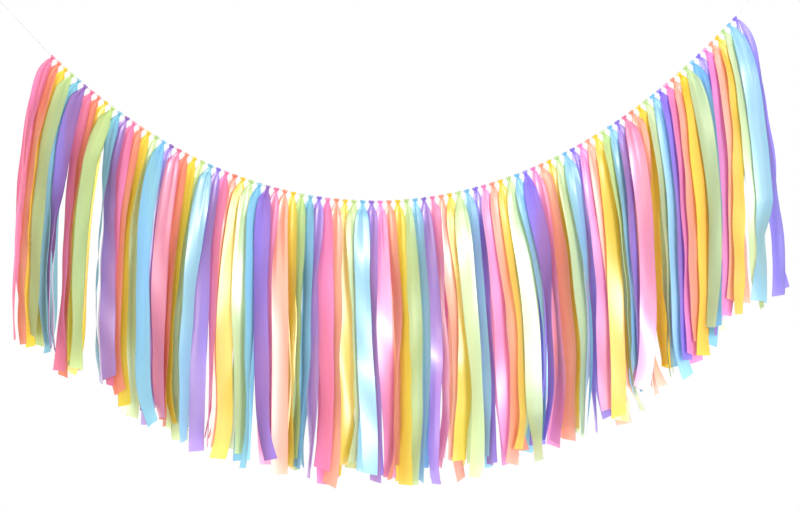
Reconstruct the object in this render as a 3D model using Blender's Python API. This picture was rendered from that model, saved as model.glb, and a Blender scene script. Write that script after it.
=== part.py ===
"""A garland of ninety satin ribbons, each tied by its middle to one thin string.

The string hangs in a catenary between two tied loops. Each ribbon is folded over the string and
held by a knot under it, and its two tails hang in front of and behind each other. Two neighbours
make one solid, joined by a narrow sleeve round the string. All sizes are in metres, +Z is up, the
front faces -Y, and the origin is the crown of the left loop, which the garland hangs by.
"""

import math

import bmesh
import bpy
import numpy as np
from mathutils import Vector

# The six colours in the order in which they follow each other from the left
COLOURS = {
    "pink": (0.90, 0.24, 0.45),
    "coral": (0.95, 0.42, 0.30),
    "yellow": (0.95, 0.70, 0.15),
    "green": (0.66, 0.85, 0.42),
    "blue": (0.32, 0.66, 0.85),
    "purple": (0.45, 0.33, 0.78),
}
REPEATS = 15
RIBBONS = REPEATS * len(COLOURS)
STRING_COLOUR = (0.80, 0.82, 0.76)
SATIN_ROUGHNESS = 0.35
STRING_ROUGHNESS = 0.80

# The string, which hangs in a catenary
KNOT_PITCH = 0.0131
CURVE_RADIUS = 0.570
LOWEST_KNOT = 41.4
STRING_THICK = 0.0012
STRING_POINTS = 60
LEFT_RUN = 0.122
LEFT_RISE = math.radians(47.0)
LEFT_POINTS = 9
RIGHT_RUN = 0.044
RIGHT_RISE = math.radians(55.0)
RIGHT_POINTS = 5
BEND_LENGTH = 0.030

# The tied loops at the two ends of the string
LOOP_LENGTH = 0.026
LOOP_WIDTH = 0.011
LOOP_POINTS = 22
LOOP_OPENS_AT = 0.6
TIE_THICK = 0.0036
TIE_LENGTH = 0.0050
TIE_SIDES = 8
TIE_RINGS = 6
CLEAR = 0.0003
LOOP_CLEAR = 0.0006

# The ribbons
RIBBON_WIDTH = 0.025
RIBBON_THICK = 0.001
TAIL_LENGTH = 0.420
TAIL_SPREAD = (0.945, 1.030)
GATHERED_WIDTH = 0.0065
OPENS_FROM = 0.007
OPEN_FADE = 0.020
MOST_SLANT = 0.25

# The knot: its width along the string, and outlines across it as pairs of depth and height
KNOT_WIDTH = 0.0066
SLEEVE_STEP = 0.0006
KNOT_OUTLINE = ((0.0, 0.0024), (-0.0032, 0.0006), (-0.0036, -0.0062),
                (0.0, -0.0076), (0.0036, -0.0062), (0.0032, 0.0006))
SLEEVE_OUTLINE = ((0.0, 0.0020), (-0.0018, 0.0010), (-0.0018, -0.0010),
                  (0.0, -0.0020), (0.0018, -0.0010), (0.0018, 0.0010))
BORE_OUTLINE = ((0.0, 0.0013), (-0.0012, 0.0007), (-0.0012, -0.0007),
                (0.0, -0.0013), (0.0012, -0.0007), (0.0012, 0.0007))
# Which corners of the knot's outline bound the face that each tail is drawn from
FRONT_SIDE = (2, 3)
BACK_SIDE = (3, 4)

# How each ribbon's front tail hangs, a row for each repeat of the six colours. The first letter is
# how it faces: w is nearly face on, m is half turned and n is nearly edge on, and a capital turns
# it to the right. The other two are how far it drifts aside by half its length and by its end,
# from a, which is two knots to the left, over e, which is plumb, to i, two knots to the right
HANGING = (
    "ncd ndd Mba mbb Nbd mbd",
    "mec ned Mdc Ndc ndf wde",
    "mdd mdd nee Wcc Mde Ned",
    "wed mee ndd Wba Mcc wcd",
    "ned Mdd wdd Wef Nee wef",
    "nee Wfg nff mfe nfc mee",
    "wff mff Wfe Nfg Wgi nff",
    "Wfg mgg ngg Wgg mgf Ngg",
    "mgf Mgf whf Mhi ngg nff",
    "Wgh Mhi Ngg wgi Nih mhf",
    "mih nii mhg Whg Nhe ngg",
    "Wfg Wgi wff Nee Mef Nde",
    "wfd nab mde Mee wed Mee",
    "Mdc Wdc Wed mfe ndc ndb",
    "Wcc Mdc Mca Weh mff nfi",
)
TURNS = {"w": (0.10, 0.60), "m": (0.75, 1.10), "n": (1.15, 1.45)}
OWN_DEPTHS = {"w": -0.012, "m": -0.006, "n": -0.003}
DRIFT_LETTERS = "abcdefghi"
DRIFT_STEP = KNOT_PITCH / 2.0
BACK_DRIFT = 0.8 * KNOT_PITCH
BACK_FOLLOWS = 0.7
BACK_DEPTH = 0.007
BACK_TURN = 1.45

# How the tails hang: each turns to its own angle and gives way to its neighbours. Distances are
# below the string, turns are in radians from face on, and gaps are half of what two tails keep
SEED = 5
ROOT_DROP = 0.010
ROOT_DEPTH = 0.0022
LEVEL = 0.008
LEAN_FADES = ((0.70, 0.018), (0.25, 0.200))
SWAY = 0.060
SWAY_WAVES = (0.26, 0.48)
SWAYS_BY = 0.085
FLICK = 0.40
FLICKS_FROM = 0.78
FIRST_TURN_BY = 0.050
FRONT_LATER_TURN = 0.70
BACK_LATER_TURN = 0.8
TWIST = 0.45
TWIST_WAVES = (0.26, 0.48)
TURN_SHARE = 0.14
SETTLES_BELOW = 0.050
SETTLING = 0.020
LOWEST_END = 1.1 * TAIL_LENGTH
REACH = 5
ROUNDS = 40
FEELERS = np.linspace(-1.0, 1.0, 6)
NO_DISTANCE = 1e-9
EDGE_INSET = 0.0003
TOP_GAP = 0.0015
LOW_GAP = 0.0028
LOW_GAP_BY = 0.060
SIDE_GIVE = 0.10
DEPTH_GIVE = 0.40
TURN_GIVE = 0.80
CLOSE_ENOUGH = 0.0002
SMOOTHING = 3
TOP_SECTIONS = (0.017, 0.034)
MOST_SECTIONS = 9
SECTION_STEP = 0.006
MOST_STRAY = 0.0028

# Where the tails part and daylight shows between them: the place on the string that it is below,
# counted in knots, its top and its bottom, each across and up from the lowest point of the string,
# and half its greatest width
DAYLIGHT = (
    (5.5, (-0.4665, 0.007), (-0.4785, -0.222), 0.0060),
    (9.5, (-0.4110, 0.085), (-0.4350, -0.203), 0.0070),
    (88.5, (0.5835, -0.021), (0.5925, -0.150), 0.0060),
)


def ease(share):
    """Goes from nought to one, level at both ends."""
    share = np.clip(share, 0.0, 1.0)
    return share * share * (3.0 - 2.0 * share)


def on_curve(knot):
    """Across, height and slope of the hanging string at a place counted in knots from the left."""
    along = (np.asarray(knot, float) - LOWEST_KNOT) * KNOT_PITCH
    across = CURVE_RADIUS * np.arcsinh(along / CURVE_RADIUS)
    height = np.hypot(CURVE_RADIUS, along) - CURVE_RADIUS
    return across, height, np.arctan(along / CURVE_RADIUS)


def free_end(knot, side, rise, run, count):
    """Points of a free end, which leaves the last knot along the string and bends to its own rise."""
    across, height, slope = on_curve(knot)
    start = side * slope
    points = []
    step = run / count
    for k in range(count):
        angle = start + (rise - start) * ease((k + 0.5) * step / BEND_LENGTH)
        across += side * step * math.cos(angle)
        height += step * math.sin(angle)
        points.append(Vector((across, 0.0, height)))
    return points


def loop_place(turn):
    """Height and half width of the tied loop at a turn round it, from nought to two pi."""
    height = LOOP_LENGTH * (1.0 - math.cos(turn)) / 2.0
    return height, LOOP_WIDTH / 2.0 * math.sin(turn) * math.sin(turn / 2.0)


def loop_points(end, side, rise):
    """Points of the tied loop, whose two strands start just past the tie that follows a free end."""
    up = Vector((side * math.cos(rise), 0.0, math.sin(rise)))
    aside = Vector((-up.z, 0.0, up.x))
    past_tie = CLEAR + TIE_LENGTH + LOOP_CLEAR
    root = end + up * (past_tie - loop_place(LOOP_OPENS_AT)[0])
    points = []
    for turn in np.linspace(LOOP_OPENS_AT, 2.0 * math.pi - LOOP_OPENS_AT, LOOP_POINTS):
        height, half = loop_place(turn)
        points.append(root + up * height + aside * half)
    return points


LEFT_END = free_end(0, -1, LEFT_RISE, LEFT_RUN, LEFT_POINTS)
RIGHT_END = free_end(RIBBONS - 1, 1, RIGHT_RISE, RIGHT_RUN, RIGHT_POINTS)
LEFT_LOOP = loop_points(LEFT_END[-1], -1, LEFT_RISE)
RIGHT_LOOP = loop_points(RIGHT_END[-1], 1, RIGHT_RISE)
ORIGIN = (LEFT_LOOP[LOOP_POINTS // 2 - 1] + LEFT_LOOP[LOOP_POINTS // 2]) / 2.0


def string_points():
    """Points of the whole string, from the left tie to the right one."""
    across, height, _ = on_curve(np.linspace(0, RIBBONS - 1, STRING_POINTS))
    middle = [Vector((x, 0.0, z)) for x, z in zip(across, height)]
    return LEFT_END[::-1] + middle + RIGHT_END


def drift_of(letter):
    """How far a letter of the chart says that a tail drifts, to the right if positive."""
    return (DRIFT_LETTERS.index(letter) - DRIFT_LETTERS.index("e")) * DRIFT_STEP


def draw_habits():
    """How each tail differs. Front tails have even numbers, and the tails behind them odd ones."""
    chance = np.random.default_rng(SEED)
    tails = 2 * RIBBONS
    marks = " ".join(HANGING).split()
    first = BACK_TURN * chance.uniform(-1.0, 1.0, tails)
    first[::2] = [chance.uniform(*TURNS[mark[0].lower()]) * (1 if mark[0].isupper() else -1)
                  for mark in marks]
    later = BACK_LATER_TURN * chance.uniform(-1.0, 1.0, tails)
    later[::2] *= FRONT_LATER_TURN / BACK_LATER_TURN
    own_depth = np.full(tails, BACK_DEPTH)
    own_depth[::2] = [OWN_DEPTHS[mark[0].lower()] for mark in marks]
    halfway = BACK_DRIFT * chance.uniform(-1.0, 1.0, tails)
    by_end = halfway + BACK_DRIFT * chance.uniform(-1.0, 1.0, tails)
    halfway[::2] = [drift_of(mark[1]) for mark in marks]
    by_end[::2] = [drift_of(mark[2]) for mark in marks]
    halfway[1::2] += halfway[::2] * BACK_FOLLOWS
    by_end[1::2] += by_end[::2] * BACK_FOLLOWS
    return {
        "length": TAIL_LENGTH * chance.uniform(*TAIL_SPREAD, tails),
        "first": first,
        "later": later,
        "depth": own_depth,
        "halfway": halfway,
        "by_end": by_end,
        "slant": MOST_SLANT * chance.uniform(-1.0, 1.0, tails),
        "sway": SWAY * chance.uniform(-1.0, 1.0, tails),
        "wave": chance.uniform(*SWAY_WAVES, tails),
        "start": chance.uniform(0.0, 2.0 * math.pi, tails),
        "twist": TWIST * chance.uniform(-1.0, 1.0, tails),
        "twist_wave": chance.uniform(*TWIST_WAVES, tails),
        "twist_start": chance.uniform(0.0, 2.0 * math.pi, tails),
        "flick": FLICK * chance.uniform(-1.0, 1.0, tails) ** 3,
    }


def width_at(drop):
    """Width of a tail at a distance below its string: gathered in the knot, then soon open."""
    share = 1.0 - np.exp(-np.maximum(drop - OPENS_FROM, 0.0) / OPEN_FADE)
    return GATHERED_WIDTH + (RIBBON_WIDTH - GATHERED_WIDTH) * share


def lean_at(drop, slope, habits):
    """How far off plumb each tail runs: out from its knot, in a slow wave, and to its own drift."""
    outward = slope * sum(share * np.exp(-drop / fade) for share, fade in LEAN_FADES)
    wave = habits["sway"] * np.sin(habits["start"] + 2.0 * math.pi * drop / habits["wave"])
    halfway, by_end = habits["halfway"], habits["by_end"]
    down = drop / habits["length"]
    drift = (4.0 * halfway - by_end + (4.0 * by_end - 8.0 * halfway) * down) / habits["length"]
    flick = habits["flick"] * ease((down - FLICKS_FROM) / (1.0 - FLICKS_FROM))
    return outward + (wave + drift) * ease(drop / SWAYS_BY) + flick


def aim_at(drop, habits):
    """Which way each tail faces if nothing is in its way: its own way, in a wave, and slowly on."""
    place = habits["twist_start"] + 2.0 * math.pi * drop / habits["twist_wave"]
    near = habits["first"] + habits["twist"] * np.sin(place)
    return near * ease(drop / FIRST_TURN_BY) + habits["later"] * drop / TAIL_LENGTH


def half_gap_at(drop):
    """Half of the room that two tails leave between them at a distance below the string."""
    return TOP_GAP + (LOW_GAP - TOP_GAP) * ease(drop / LOW_GAP_BY)


def let_light_through(x, gap, sides, height):
    """How far the points across each tail are pushed out of the places where daylight shows."""
    push = np.zeros(x.shape)
    for side, (_, top, bottom, widest) in zip(sides, DAYLIGHT):
        down = (top[1] - height) / (top[1] - bottom[1])
        if 0.0 < down < 1.0:
            middle = top[0] + (bottom[0] - top[0]) * down
            half = widest * math.sin(math.pi * down)
            inside = np.maximum((half + gap)[:, None] - side[:, None] * (x - middle), 0.0)
            push += side[:, None] * inside
    return push


def give_way(across, depth, turn, drop, first, second, sides, height):
    """Moves and turns the tails until no two of them are nearer than their gaps allow."""
    gap = half_gap_at(drop)
    reach = FEELERS * (width_at(drop) / 2.0 - EDGE_INSET)[:, None]
    for _ in range(ROUNDS):
        facing = np.stack([np.cos(turn), np.sin(turn)])
        x = across[:, None] + reach * facing[0][:, None]
        y = depth[:, None] + reach * facing[1][:, None]
        apart = np.stack([x[first][:, :, None] - x[second][:, None, :],
                          y[first][:, :, None] - y[second][:, None, :]])
        distance = np.hypot(*apart) + NO_DISTANCE
        overlap = np.maximum((gap[first] + gap[second])[:, None, None] - distance, 0.0)
        aside = let_light_through(x, gap, sides, height)
        if max(overlap.max(initial=0.0), np.abs(aside).max()) < CLOSE_ENOUGH:
            break
        push = apart * overlap / distance / 2.0
        force = np.stack([aside, np.zeros(reach.shape)])
        for axis in (0, 1):
            np.add.at(force[axis], first, push[axis].sum(axis=2))
            np.add.at(force[axis], second, -push[axis].sum(axis=1))
        twist = (force[1] * facing[0][:, None] - force[0] * facing[1][:, None]) * reach
        across += SIDE_GIVE * force[0].sum(axis=1)
        depth += DEPTH_GIVE * force[1].sum(axis=1)
        turn += TURN_GIVE * twist.sum(axis=1) / (reach ** 2).sum(axis=1)


def hang_tails(habits):
    """Lowers all the tails together, a level at a time, and returns each one's path.

    Seen from above, a tail at a level is a short line with a place and a turn. From level to level
    it drifts the way it leans, turns towards its own angle, and gives way where it meets another.
    A path has rows of drop along the tail, across, depth, height and turn.
    """
    ribbon = np.repeat(np.arange(RIBBONS), 2)
    knot_across, knot_height, slope = on_curve(ribbon)
    across = knot_across + np.sin(slope) * ROOT_DROP
    root = knot_height - np.cos(slope) * ROOT_DROP
    depth = np.tile([-ROOT_DEPTH, ROOT_DEPTH], RIBBONS)
    turn = np.zeros(2 * RIBBONS)
    drop = np.full(2 * RIBBONS, ROOT_DROP)
    first, second = np.triu_indices(2 * RIBBONS, 1)
    near = ribbon[second] - ribbon[first] <= REACH
    first, second = first[near], second[near]
    from_light = ribbon - np.array([place[0] for place in DAYLIGHT])[:, None]
    sides = np.sign(from_light) * (abs(from_light) < REACH)
    paths = [[] for _ in ribbon]
    for height in np.arange(root.max(), (root - LOWEST_END).min(), -LEVEL):
        moves = (height < root) & (drop < habits["length"] + LEVEL)
        lean = lean_at(drop, slope, habits)
        step = np.where(moves, LEVEL, 0.0)
        across += step * np.tan(lean)
        drop += step / np.cos(lean)
        turn += np.where(moves, TURN_SHARE * (aim_at(drop, habits) - turn), 0.0)
        depth += np.where(moves & (drop > SETTLES_BELOW), SETTLING * (habits["depth"] - depth), 0.0)
        meet = moves[first] & moves[second]
        give_way(across, depth, turn, drop, first[meet], second[meet], sides * moves, height)
        for tail in np.flatnonzero(moves):
            paths[tail].append((drop[tail], across[tail], depth[tail], height, turn[tail]))
    return [smoothed(np.array(path)) for path in paths]


def smoothed(path):
    """A path whose across, depth and turn are averaged over a few levels."""
    padded = np.pad(path, ((SMOOTHING, SMOOTHING), (0, 0)), mode="reflect", reflect_type="odd")
    weights = np.ones(2 * SMOOTHING + 1) / (2 * SMOOTHING + 1)
    return np.stack([np.convolve(column, weights, mode="valid") for column in padded.T], axis=1)


def edges_at(path, drops):
    """The places across and in depth of a tail's two edges, a row for each of the four."""
    across, depth, turn = (np.interp(drops, path[:, 0], path[:, k]) for k in (1, 2, 4))
    aside = width_at(drops) / 2.0 * np.stack([np.cos(turn), np.sin(turn)])
    middle = np.stack([across, depth])
    return np.concatenate([middle - aside, middle + aside])


def sections_of(path, length):
    """Drops of a tail's sections, each added where the edges stray most from straight lines."""
    drops = np.arange(TOP_SECTIONS[-1], length, SECTION_STEP)
    edges = edges_at(path, drops)
    chosen = [0, len(drops) - 1]
    for _ in range(MOST_SECTIONS):
        straight = [np.interp(drops, drops[chosen], edge[chosen]) for edge in edges]
        stray = np.abs(edges - straight).sum(axis=0)
        if stray.max() < MOST_STRAY:
            break
        chosen = sorted([*chosen, int(stray.argmax())])
    return (*TOP_SECTIONS[:-1], *drops[chosen[:-1]], length)


def section_corners(path, drop, slant):
    """The four corners of a tail at a drop: front left, front right, back right, back left."""
    across, depth, height, turn = (np.interp(drop, path[:, 0], path[:, k]) for k in range(1, 5))
    half = width_at(drop) / 2.0
    facing = Vector((math.cos(turn), math.sin(turn), 0.0))
    through = Vector((-facing.y, facing.x, 0.0)) * RIBBON_THICK / 2.0
    middle = Vector((across, depth, height))
    aside = facing * half + Vector((0.0, 0.0, half * slant))
    return [middle - aside - through, middle + aside - through,
            middle + aside + through, middle - aside + through]


def ring_on_string(knot, shift, outline):
    """Points of an outline set across the string, at a shift along it from a knot."""
    across, height, slope = on_curve(knot + shift / KNOT_PITCH)
    up = Vector((-math.sin(slope), 0.0, math.cos(slope)))
    centre = Vector((across, 0.0, height))
    return [centre + Vector((0.0, depth, 0.0)) + up * rise for depth, rise in outline]


def pulled_on(shape, face, points):
    """Extrudes a face and moves the new one's corners to the points. Returns the new face."""
    new = bmesh.ops.extrude_discrete_faces(shape, faces=[face])["faces"][0]
    for corner, point in zip(new.verts, points):
        corner.co = point
    return new


def face_between(corners):
    """The one face that these four corners share."""
    return set.intersection(*(set(corner.link_faces) for corner in corners)).pop()


def add_solid(name, shape, materials):
    """Makes the object of a finished shape."""
    mesh = bpy.data.meshes.new(name)
    shape.to_mesh(mesh)
    shape.free()
    for material in materials:
        mesh.materials.append(material)
    bpy.context.collection.objects.link(bpy.data.objects.new(name, mesh))
    return mesh


def crease(upper, lower):
    """Splits the front and the back between two sections along the same, shorter diagonal."""
    falling = (upper[0].co - lower[1].co).length < (upper[1].co - lower[0].co).length
    for left, right in ((0, 1), (3, 2)):
        face = face_between([upper[left], upper[right], lower[left], lower[right]])
        if falling:
            bmesh.utils.face_split(face, upper[left], lower[right])
        else:
            bmesh.utils.face_split(face, upper[right], lower[left])


def pull_tail(shape, corners, path, length, slant):
    """Draws a tail out of the face at its root, a section at a time."""
    face = face_between(corners)
    order = [corners.index(vert) for vert in face.verts]
    for drop in sections_of(path, length):
        points = section_corners(path, drop, slant if drop == length else 0.0)
        face = pulled_on(shape, face, [points[k] for k in order])
        lower = [face.verts[order.index(k)] for k in range(len(corners))]
        crease(corners, lower)
        corners = lower


def pull_knots(shape, knot):
    """Two knots, the sleeve between them and the bore for the string. Returns the knots' rings."""
    half = KNOT_WIDTH / 2.0
    stations = (
        (0, half, KNOT_OUTLINE),
        (0, half + SLEEVE_STEP, SLEEVE_OUTLINE),
        (1, -half - SLEEVE_STEP, SLEEVE_OUTLINE),
        (1, -half, KNOT_OUTLINE),
        (1, half, KNOT_OUTLINE),
        (1, half, BORE_OUTLINE),
        (0, -half, BORE_OUTLINE),
    )
    ring = [shape.verts.new(point) for point in ring_on_string(knot, -half, KNOT_OUTLINE)]
    opening = [shape.edges.new((a, b)) for a, b in zip(ring, ring[1:] + ring[:1])]
    face = shape.faces.new(ring)
    rings = [ring]
    for other, shift, outline in stations:
        face = pulled_on(shape, face, ring_on_string(knot + other, shift, outline))
        rings.append(list(face.verts))
    rims = opening + list(face.edges)
    bmesh.ops.delete(shape, geom=[face], context="FACES_ONLY")
    bmesh.ops.bridge_loops(shape, edges=rims)
    return (rings[0], rings[1]), (rings[4], rings[5])


def dye_second(shape, rings):
    """Gives the second knot the second colour, which its tails take from it."""
    for near, far in zip(*(zip(ring, ring[1:] + ring[:1]) for ring in rings)):
        face_between([*near, *far]).material_index = 1


def make_pair(name, knot, paths, habits, materials):
    """Two neighbouring ribbons: their knots, the sleeve between them and their four tails."""
    shape = bmesh.new()
    both = pull_knots(shape, knot)
    dye_second(shape, both[1])
    for ribbon, (left, right) in enumerate(both, start=knot):
        for side, (outer, inner) in enumerate((FRONT_SIDE, BACK_SIDE)):
            tail = 2 * ribbon + side
            corners = [left[outer], right[outer], right[inner], left[inner]]
            pull_tail(shape, corners, paths[tail], habits["length"][tail], habits["slant"][tail])
    bmesh.ops.translate(shape, verts=shape.verts, vec=-ORIGIN)
    bmesh.ops.recalc_face_normals(shape, faces=shape.faces)
    add_solid(name, shape, materials)


def make_cord(name, points, material):
    """A round cord along the points, with its ends closed."""
    curve = bpy.data.curves.new(name, "CURVE")
    curve.dimensions = "3D"
    curve.bevel_depth = STRING_THICK / 2.0
    curve.bevel_resolution = 2
    curve.use_fill_caps = True
    spline = curve.splines.new("POLY")
    spline.points.add(len(points) - 1)
    for place, point in zip(spline.points, points):
        place.co = (*(point - ORIGIN), 1.0)
    curve.materials.append(material)
    bpy.context.collection.objects.link(bpy.data.objects.new(name, curve))


def make_tie(name, end, side, rise, material):
    """The small hard knot between a free end and its loop."""
    up = Vector((side * math.cos(rise), 0.0, math.sin(rise)))
    shape = bmesh.new()
    bmesh.ops.create_uvsphere(shape, u_segments=TIE_SIDES, v_segments=TIE_RINGS, radius=0.5)
    bmesh.ops.scale(shape, verts=shape.verts, vec=(TIE_THICK, TIE_THICK, TIE_LENGTH))
    turn = Vector((0.0, 0.0, 1.0)).rotation_difference(up).to_matrix()
    bmesh.ops.rotate(shape, verts=shape.verts, cent=Vector(), matrix=turn)
    centre = end + up * (CLEAR + TIE_LENGTH / 2.0)
    bmesh.ops.translate(shape, verts=shape.verts, vec=centre - ORIGIN)
    add_solid(name, shape, [material]).shade_smooth()


def make_material(name, colour, roughness):
    """A plain material of one colour."""
    material = bpy.data.materials.new(name)
    material.use_nodes = True
    shader = material.node_tree.nodes["Principled BSDF"]
    shader.inputs["Base Color"].default_value = (*colour, 1.0)
    shader.inputs["Roughness"].default_value = roughness
    shader.inputs["Metallic"].default_value = 0.0
    return material


def clear_scene():
    """Removes whatever the file opened with."""
    for obj in list(bpy.data.objects):
        bpy.data.objects.remove(obj, do_unlink=True)


def make_ribbons():
    """The ninety ribbons, two to a solid."""
    satins = [make_material(f"{name}_satin", colour, SATIN_ROUGHNESS)
              for name, colour in COLOURS.items()]
    names = list(COLOURS)
    habits = draw_habits()
    paths = hang_tails(habits)
    for knot in range(0, RIBBONS, 2):
        repeat, first = divmod(knot, len(COLOURS))
        name = f"repeat_{repeat + 1:02d}_{names[first]}_{names[first + 1]}"
        make_pair(name, knot, paths, habits, satins[first:first + 2])


def make_string():
    """The one string, and the tie and loop at each end of it."""
    twine = make_material("string_cotton", STRING_COLOUR, STRING_ROUGHNESS)
    make_cord("string", string_points(), twine)
    make_cord("left_loop", LEFT_LOOP, twine)
    make_cord("right_loop", RIGHT_LOOP, twine)
    make_tie("left_tie", LEFT_END[-1], -1, LEFT_RISE, twine)
    make_tie("right_tie", RIGHT_END[-1], 1, RIGHT_RISE, twine)


clear_scene()
make_ribbons()
make_string()
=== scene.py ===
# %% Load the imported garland
import math

import bmesh
import bpy
import numpy as np
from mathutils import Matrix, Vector


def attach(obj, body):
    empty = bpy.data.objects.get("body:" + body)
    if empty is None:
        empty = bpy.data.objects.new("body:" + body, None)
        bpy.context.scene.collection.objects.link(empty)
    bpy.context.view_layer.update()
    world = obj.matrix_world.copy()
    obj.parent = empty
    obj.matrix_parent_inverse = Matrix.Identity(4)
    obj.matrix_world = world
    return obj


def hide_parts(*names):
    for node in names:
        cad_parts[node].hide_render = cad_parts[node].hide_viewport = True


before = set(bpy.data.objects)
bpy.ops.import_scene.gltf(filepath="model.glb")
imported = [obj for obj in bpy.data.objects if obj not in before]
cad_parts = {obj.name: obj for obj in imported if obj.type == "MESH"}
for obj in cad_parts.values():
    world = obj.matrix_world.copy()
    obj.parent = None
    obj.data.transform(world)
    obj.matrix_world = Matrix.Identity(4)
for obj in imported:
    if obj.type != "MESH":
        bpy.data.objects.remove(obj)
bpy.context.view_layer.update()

# %% [markdown]
# The camera stands level, straight in front of the garland. A long lens keeps the tails upright
# at both ends. The garland is a little wider than what it sees, because the string runs out of
# the picture at both upper corners.

# %% Camera
CENTRE = Vector((0.6241, 0.0, -0.4069))
SEEN_WIDTH = 1.2
LENS_MM = 85.0
SENSOR_MM = 36.0
DISTANCE = SEEN_WIDTH * LENS_MM / SENSOR_MM

lens = bpy.data.cameras.new("camera")
lens.lens, lens.sensor_width = LENS_MM, SENSOR_MM
camera = bpy.data.objects.new("camera", lens)
camera.location = CENTRE - Vector((0.0, DISTANCE, 0.0))
camera.rotation_euler = (math.pi / 2.0, 0.0, 0.0)
bpy.context.collection.objects.link(camera)
bpy.context.scene.camera = camera
print("camera", round(DISTANCE, 3), "m in front")

# %% [markdown]
# How the string hangs. It could be simulated, or bent by eye, but a garland with its weight spread
# evenly along the string hangs in a catenary, and that curve has a formula. The knots are counted
# along it, so that every piece below can ask where its knot is. Past the last knots the string
# carries nothing and is held by its ends, so there it runs nearly straight, up to a tied loop.

# %% The hanging string
COLOURS = ("pink", "coral", "yellow", "green", "blue", "purple")
REPEATS = 15
RIBBONS = REPEATS * len(COLOURS)
KNOT_PITCH = 0.0131
CURVE_RADIUS = 0.570
LOWEST_KNOT = 41.4


def ease(share):
    """Goes from nought to one, level at both ends."""
    share = np.clip(share, 0.0, 1.0)
    return share * share * (3.0 - 2.0 * share)


def on_curve(knot):
    """Across, height and slope of the string at a place counted in knots from the left."""
    along = (np.asarray(knot, float) - LOWEST_KNOT) * KNOT_PITCH
    across = CURVE_RADIUS * np.arcsinh(along / CURVE_RADIUS)
    height = np.hypot(CURVE_RADIUS, along) - CURVE_RADIUS
    return across, height, np.arctan(along / CURVE_RADIUS)


print("the knotted part spans", round(float(on_curve(RIBBONS - 1)[0] - on_curve(0)[0]), 3), "m")

# %% The string's free ends
STRING_THICK = 0.0012
LEFT_RUN = 0.122
LEFT_RISE = math.radians(47.0)
LEFT_POINTS = 9
RIGHT_RUN = 0.044
RIGHT_RISE = math.radians(55.0)
RIGHT_POINTS = 5
BEND_LENGTH = 0.030


def free_end(knot, side, rise, run, count):
    """Points of a free end, which leaves the last knot along the string and bends to its rise."""
    across, height, slope = on_curve(knot)
    start = side * slope
    points = []
    step = run / count
    for k in range(count):
        angle = start + (rise - start) * ease((k + 0.5) * step / BEND_LENGTH)
        across += side * step * math.cos(angle)
        height += step * math.sin(angle)
        points.append(Vector((across, 0.0, height)))
    return points


LEFT_END = free_end(0, -1, LEFT_RISE, LEFT_RUN, LEFT_POINTS)
RIGHT_END = free_end(RIBBONS - 1, 1, RIGHT_RISE, RIGHT_RUN, RIGHT_POINTS)
print("free ends of", LEFT_RUN, "and", RIGHT_RUN, "m")

# %% The loops past the free ends
LOOP_LENGTH = 0.026
LOOP_WIDTH = 0.011
LOOP_POINTS = 22
LOOP_OPENS_AT = 0.6
TIE_LENGTH = 0.0050
CLEAR = 0.0003
LOOP_CLEAR = 0.0006
TIE_REACH = CLEAR + TIE_LENGTH + LOOP_CLEAR


def end_way(side, rise):
    """The direction of a free end, up and out."""
    return Vector((side * math.cos(rise), 0.0, math.sin(rise)))


def beside(way):
    """The direction square to a free end, in the plane of the garland."""
    return Vector((-way.z, 0.0, way.x))


def loop_place(turn):
    """Height and half width of the tied loop at a turn round it, from nought to two pi."""
    height = LOOP_LENGTH * (1.0 - math.cos(turn)) / 2.0
    return height, LOOP_WIDTH / 2.0 * math.sin(turn) * math.sin(turn / 2.0)


def loop_points(end, way):
    """Points of the tied loop, whose two strands start just past the tie that follows an end."""
    root = end + way * (TIE_REACH - loop_place(LOOP_OPENS_AT)[0])
    points = []
    for turn in np.linspace(LOOP_OPENS_AT, 2.0 * math.pi - LOOP_OPENS_AT, LOOP_POINTS):
        height, half = loop_place(turn)
        points.append(root + way * height + beside(way) * half)
    return points


LEFT_WAY, RIGHT_WAY = end_way(-1, LEFT_RISE), end_way(1, RIGHT_RISE)
LEFT_LOOP = loop_points(LEFT_END[-1], LEFT_WAY)
RIGHT_LOOP = loop_points(RIGHT_END[-1], RIGHT_WAY)
ORIGIN = np.array((LEFT_LOOP[LOOP_POINTS // 2 - 1] + LEFT_LOOP[LOOP_POINTS // 2]) / 2.0)
print("the left loop's crown is the origin, at", [round(v, 5) for v in ORIGIN], "on the curve")

# %% [markdown]
# How each ribbon hangs. Ninety ribbons could be draped by cloth simulation, but it would take
# minutes and wouldn't keep the order that the photograph shows. A chart says how each front tail
# faces and drifts, and the tails are lowered together, level by level, like pieces moving over a
# plan: each drifts and turns its own way, and those that meet push each other aside. So no two
# ribbons pass through each other. In the chart, the first letter is w for face on, m for half
# turned and n for nearly edge on, and a capital turns it to the right. The other letters say how
# far it drifts by half its length and by its end, from a, two knots to the left, over e, plumb, to
# i, two knots to the right.

# %% The chart of the ribbons
HANGING = (
    "ncd ndd Mba mbb Nbd mbd",
    "mec ned Mdc Ndc ndf wde",
    "mdd mdd nee Wcc Mde Ned",
    "wed mee ndd Wba Mcc wcd",
    "ned Mdd wdd Wef Nee wef",
    "nee Wfg nff mfe nfc mee",
    "wff mff Wfe Nfg Wgi nff",
    "Wfg mgg ngg Wgg mgf Ngg",
    "mgf Mgf whf Mhi ngg nff",
    "Wgh Mhi Ngg wgi Nih mhf",
    "mih nii mhg Whg Nhe ngg",
    "Wfg Wgi wff Nee Mef Nde",
    "wfd nab mde Mee wed Mee",
    "Mdc Wdc Wed mfe ndc ndb",
    "Wcc Mdc Mca Weh mff nfi",
)
print("the chart has", len(" ".join(HANGING).split()), "ribbons")

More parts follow.
